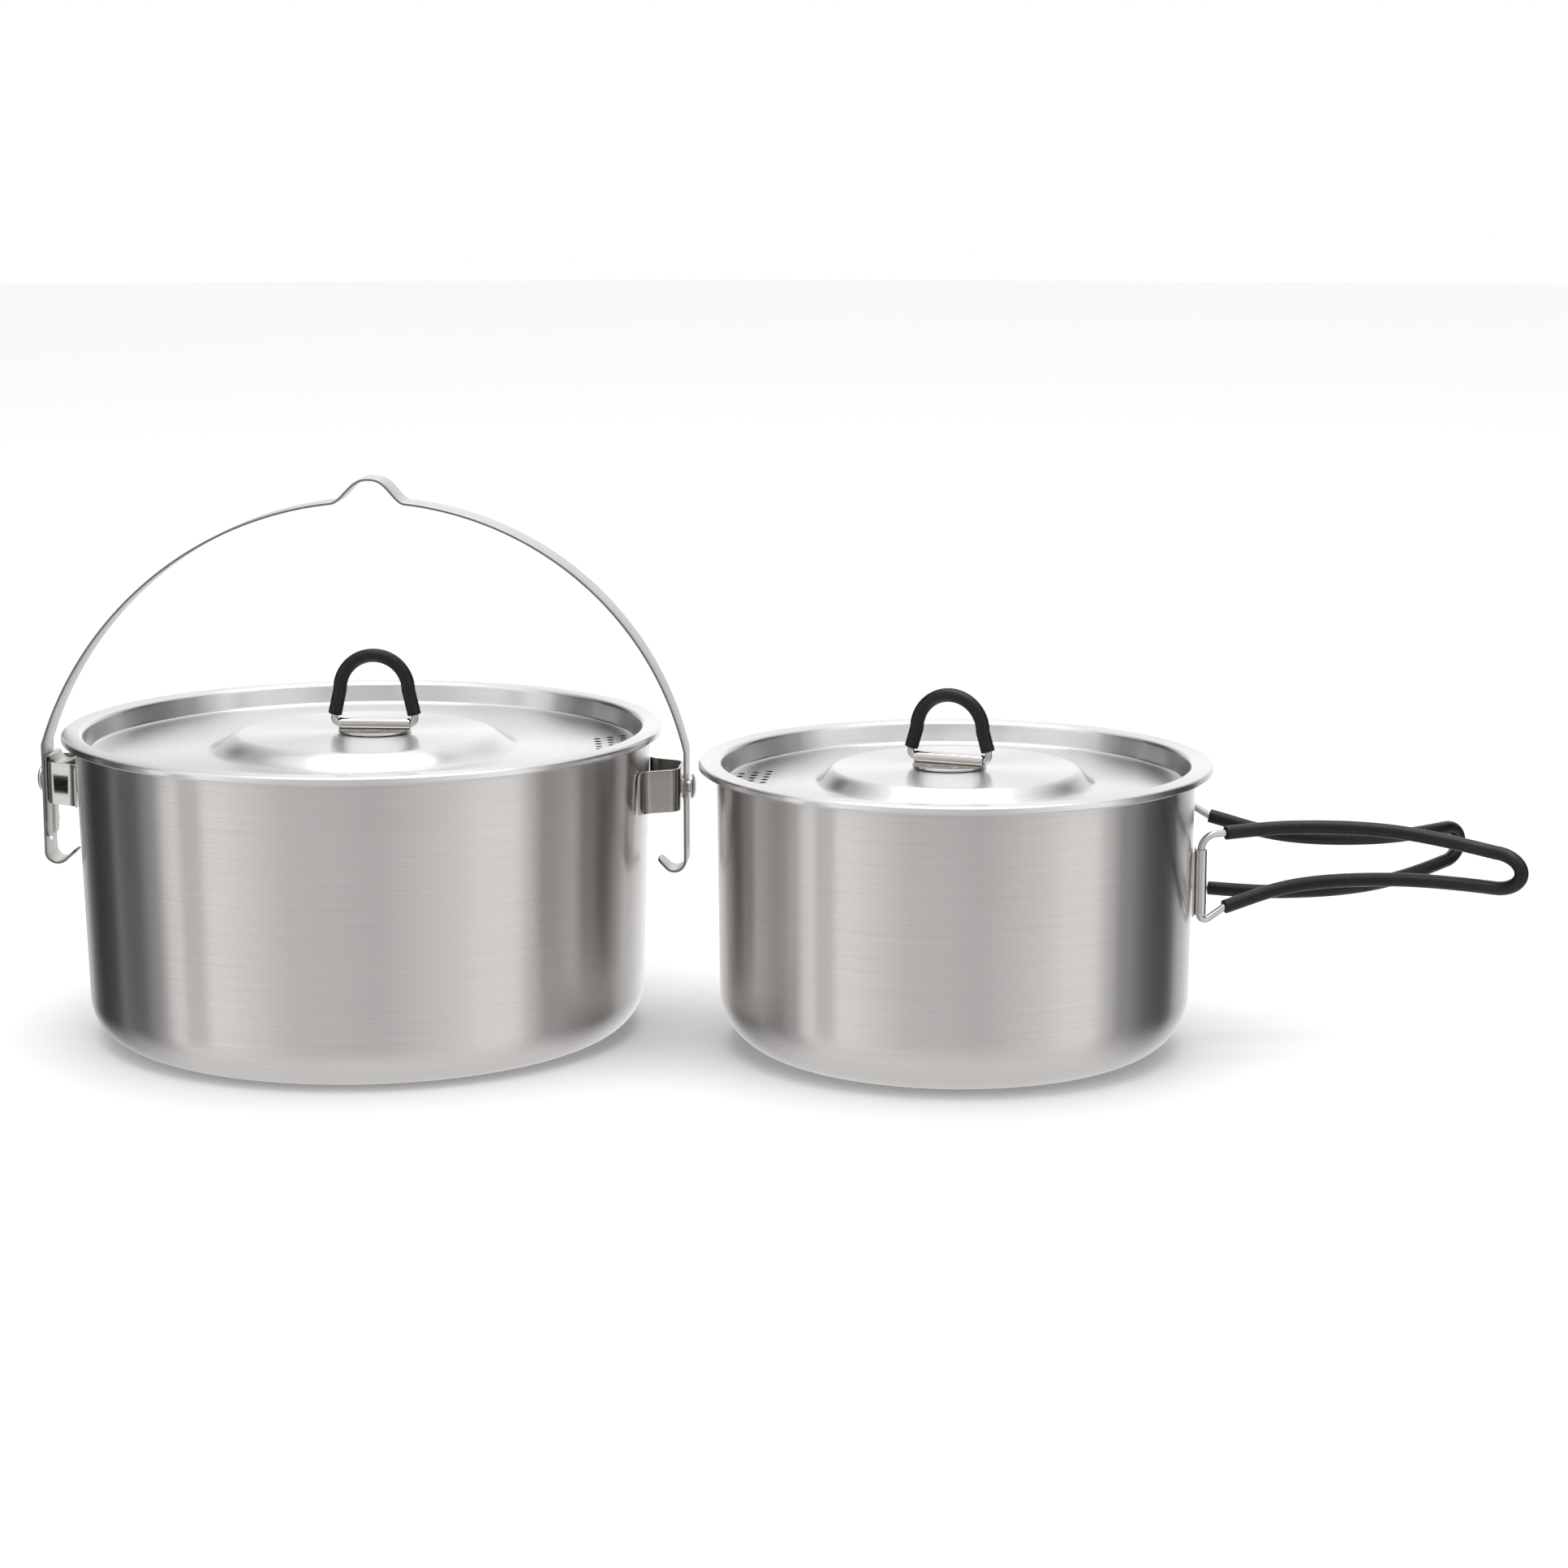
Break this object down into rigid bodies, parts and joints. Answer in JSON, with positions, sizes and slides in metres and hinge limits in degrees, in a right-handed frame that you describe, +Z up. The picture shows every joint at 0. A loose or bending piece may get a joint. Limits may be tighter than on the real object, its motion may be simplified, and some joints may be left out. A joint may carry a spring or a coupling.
{
  "type": "camping cooking pot set",
  "caption": "Large brushed-steel pot with a hooked bail and a small pot with folding wire handles, each with a strainer lid and a sleeved folding ring.",
  "frame": {"origin": "centre of the underside of the large pot", "axes": "+Z up; +X along the bail's pivot axis, towards the small pot; +Y away from the side the handles' front one folds to"},
  "size_m": [0.5159, 0.208, 0.1937],
  "materials": {
    "brushed_steel": "brushed round the body",
    "satin_steel": "satin",
    "polished_steel": "polished",
    "wire_steel": "bright drawn wire",
    "black_sleeve": "satin black"
  },
  "bodies": {
    "large_pot": {"large_pot_body": "brushed_steel", "bail_bracket_left": "polished_steel", "bail_bracket_right": "polished_steel", "bail_stop_plate": "wire_steel", "bail_washer": "wire_steel"},
    "bail_pivot": {"bail_rivet_left": "polished_steel", "bail_rivet_right": "polished_steel"},
    "bail": {"bail": "satin_steel"},
    "large_lid": {"large_lid": "satin_steel", "large_lid_ring_holder": "polished_steel"},
    "large_lid_ring": {"large_lid_ring": "wire_steel", "large_lid_ring_sleeve": "black_sleeve"},
    "small_pot": {"small_pot_body": "brushed_steel", "handle_bracket_front": "polished_steel", "handle_bracket_rear": "polished_steel"},
    "small_lid": {"small_lid": "satin_steel", "small_lid_ring_holder": "polished_steel"},
    "small_lid_ring": {"small_lid_ring": "wire_steel", "small_lid_ring_sleeve": "black_sleeve"},
    "handle_front": {"handle_wire_front": "wire_steel", "handle_sleeve_front": "black_sleeve"},
    "handle_rear": {"handle_wire_rear": "wire_steel", "handle_sleeve_rear": "black_sleeve"}
  },
  "joints": [
    {"name": "bail_swing", "type": "hinge", "parent": "large_pot", "child": "bail_pivot", "pos_m": [0, 0, 0.0867], "axis": [1, 0, 0], "range_deg": [-50, 50]},
    {"name": "bail_lift", "type": "slide", "parent": "bail_pivot", "child": "bail", "axis": [0, 0, 1], "range_m": [0, 0.0055]},
    {"name": "large_lid_lift", "type": "slide", "parent": "large_pot", "child": "large_lid", "axis": [0, 0, 1], "range_m": [0, 0.004]},
    {"name": "large_ring_fold", "type": "hinge", "parent": "large_lid", "child": "large_lid_ring", "pos_m": [0.0037, 0, 0.1075], "axis": [1, 0, 0], "range_deg": [-80, 80]},
    {"name": "small_pot_lift", "type": "slide", "parent": "large_pot", "child": "small_pot", "axis": [0, 0, 1], "range_m": [0, 0.12]},
    {"name": "small_lid_lift", "type": "slide", "parent": "small_pot", "child": "small_lid", "axis": [0, 0, 1], "range_m": [0, 0.06]},
    {"name": "small_ring_fold", "type": "hinge", "parent": "small_lid", "child": "small_lid_ring", "pos_m": [0.2044, -0.0118, 0.0996], "axis": [0.9455, -0.3256, 0], "range_deg": [-80, 80]},
    {"name": "front_handle_fold", "type": "hinge", "parent": "small_pot", "child": "handle_front", "pos_m": [0.29039, -0.01841, 0.0626], "axis": [0, 0, 1], "range_deg": [-120, 0]},
    {"name": "rear_handle_fold", "type": "hinge", "parent": "small_pot", "child": "handle_rear", "pos_m": [0.28532, 0.01771, 0.0626], "axis": [0, 0, 1], "range_deg": [0, 120]}
  ]
}
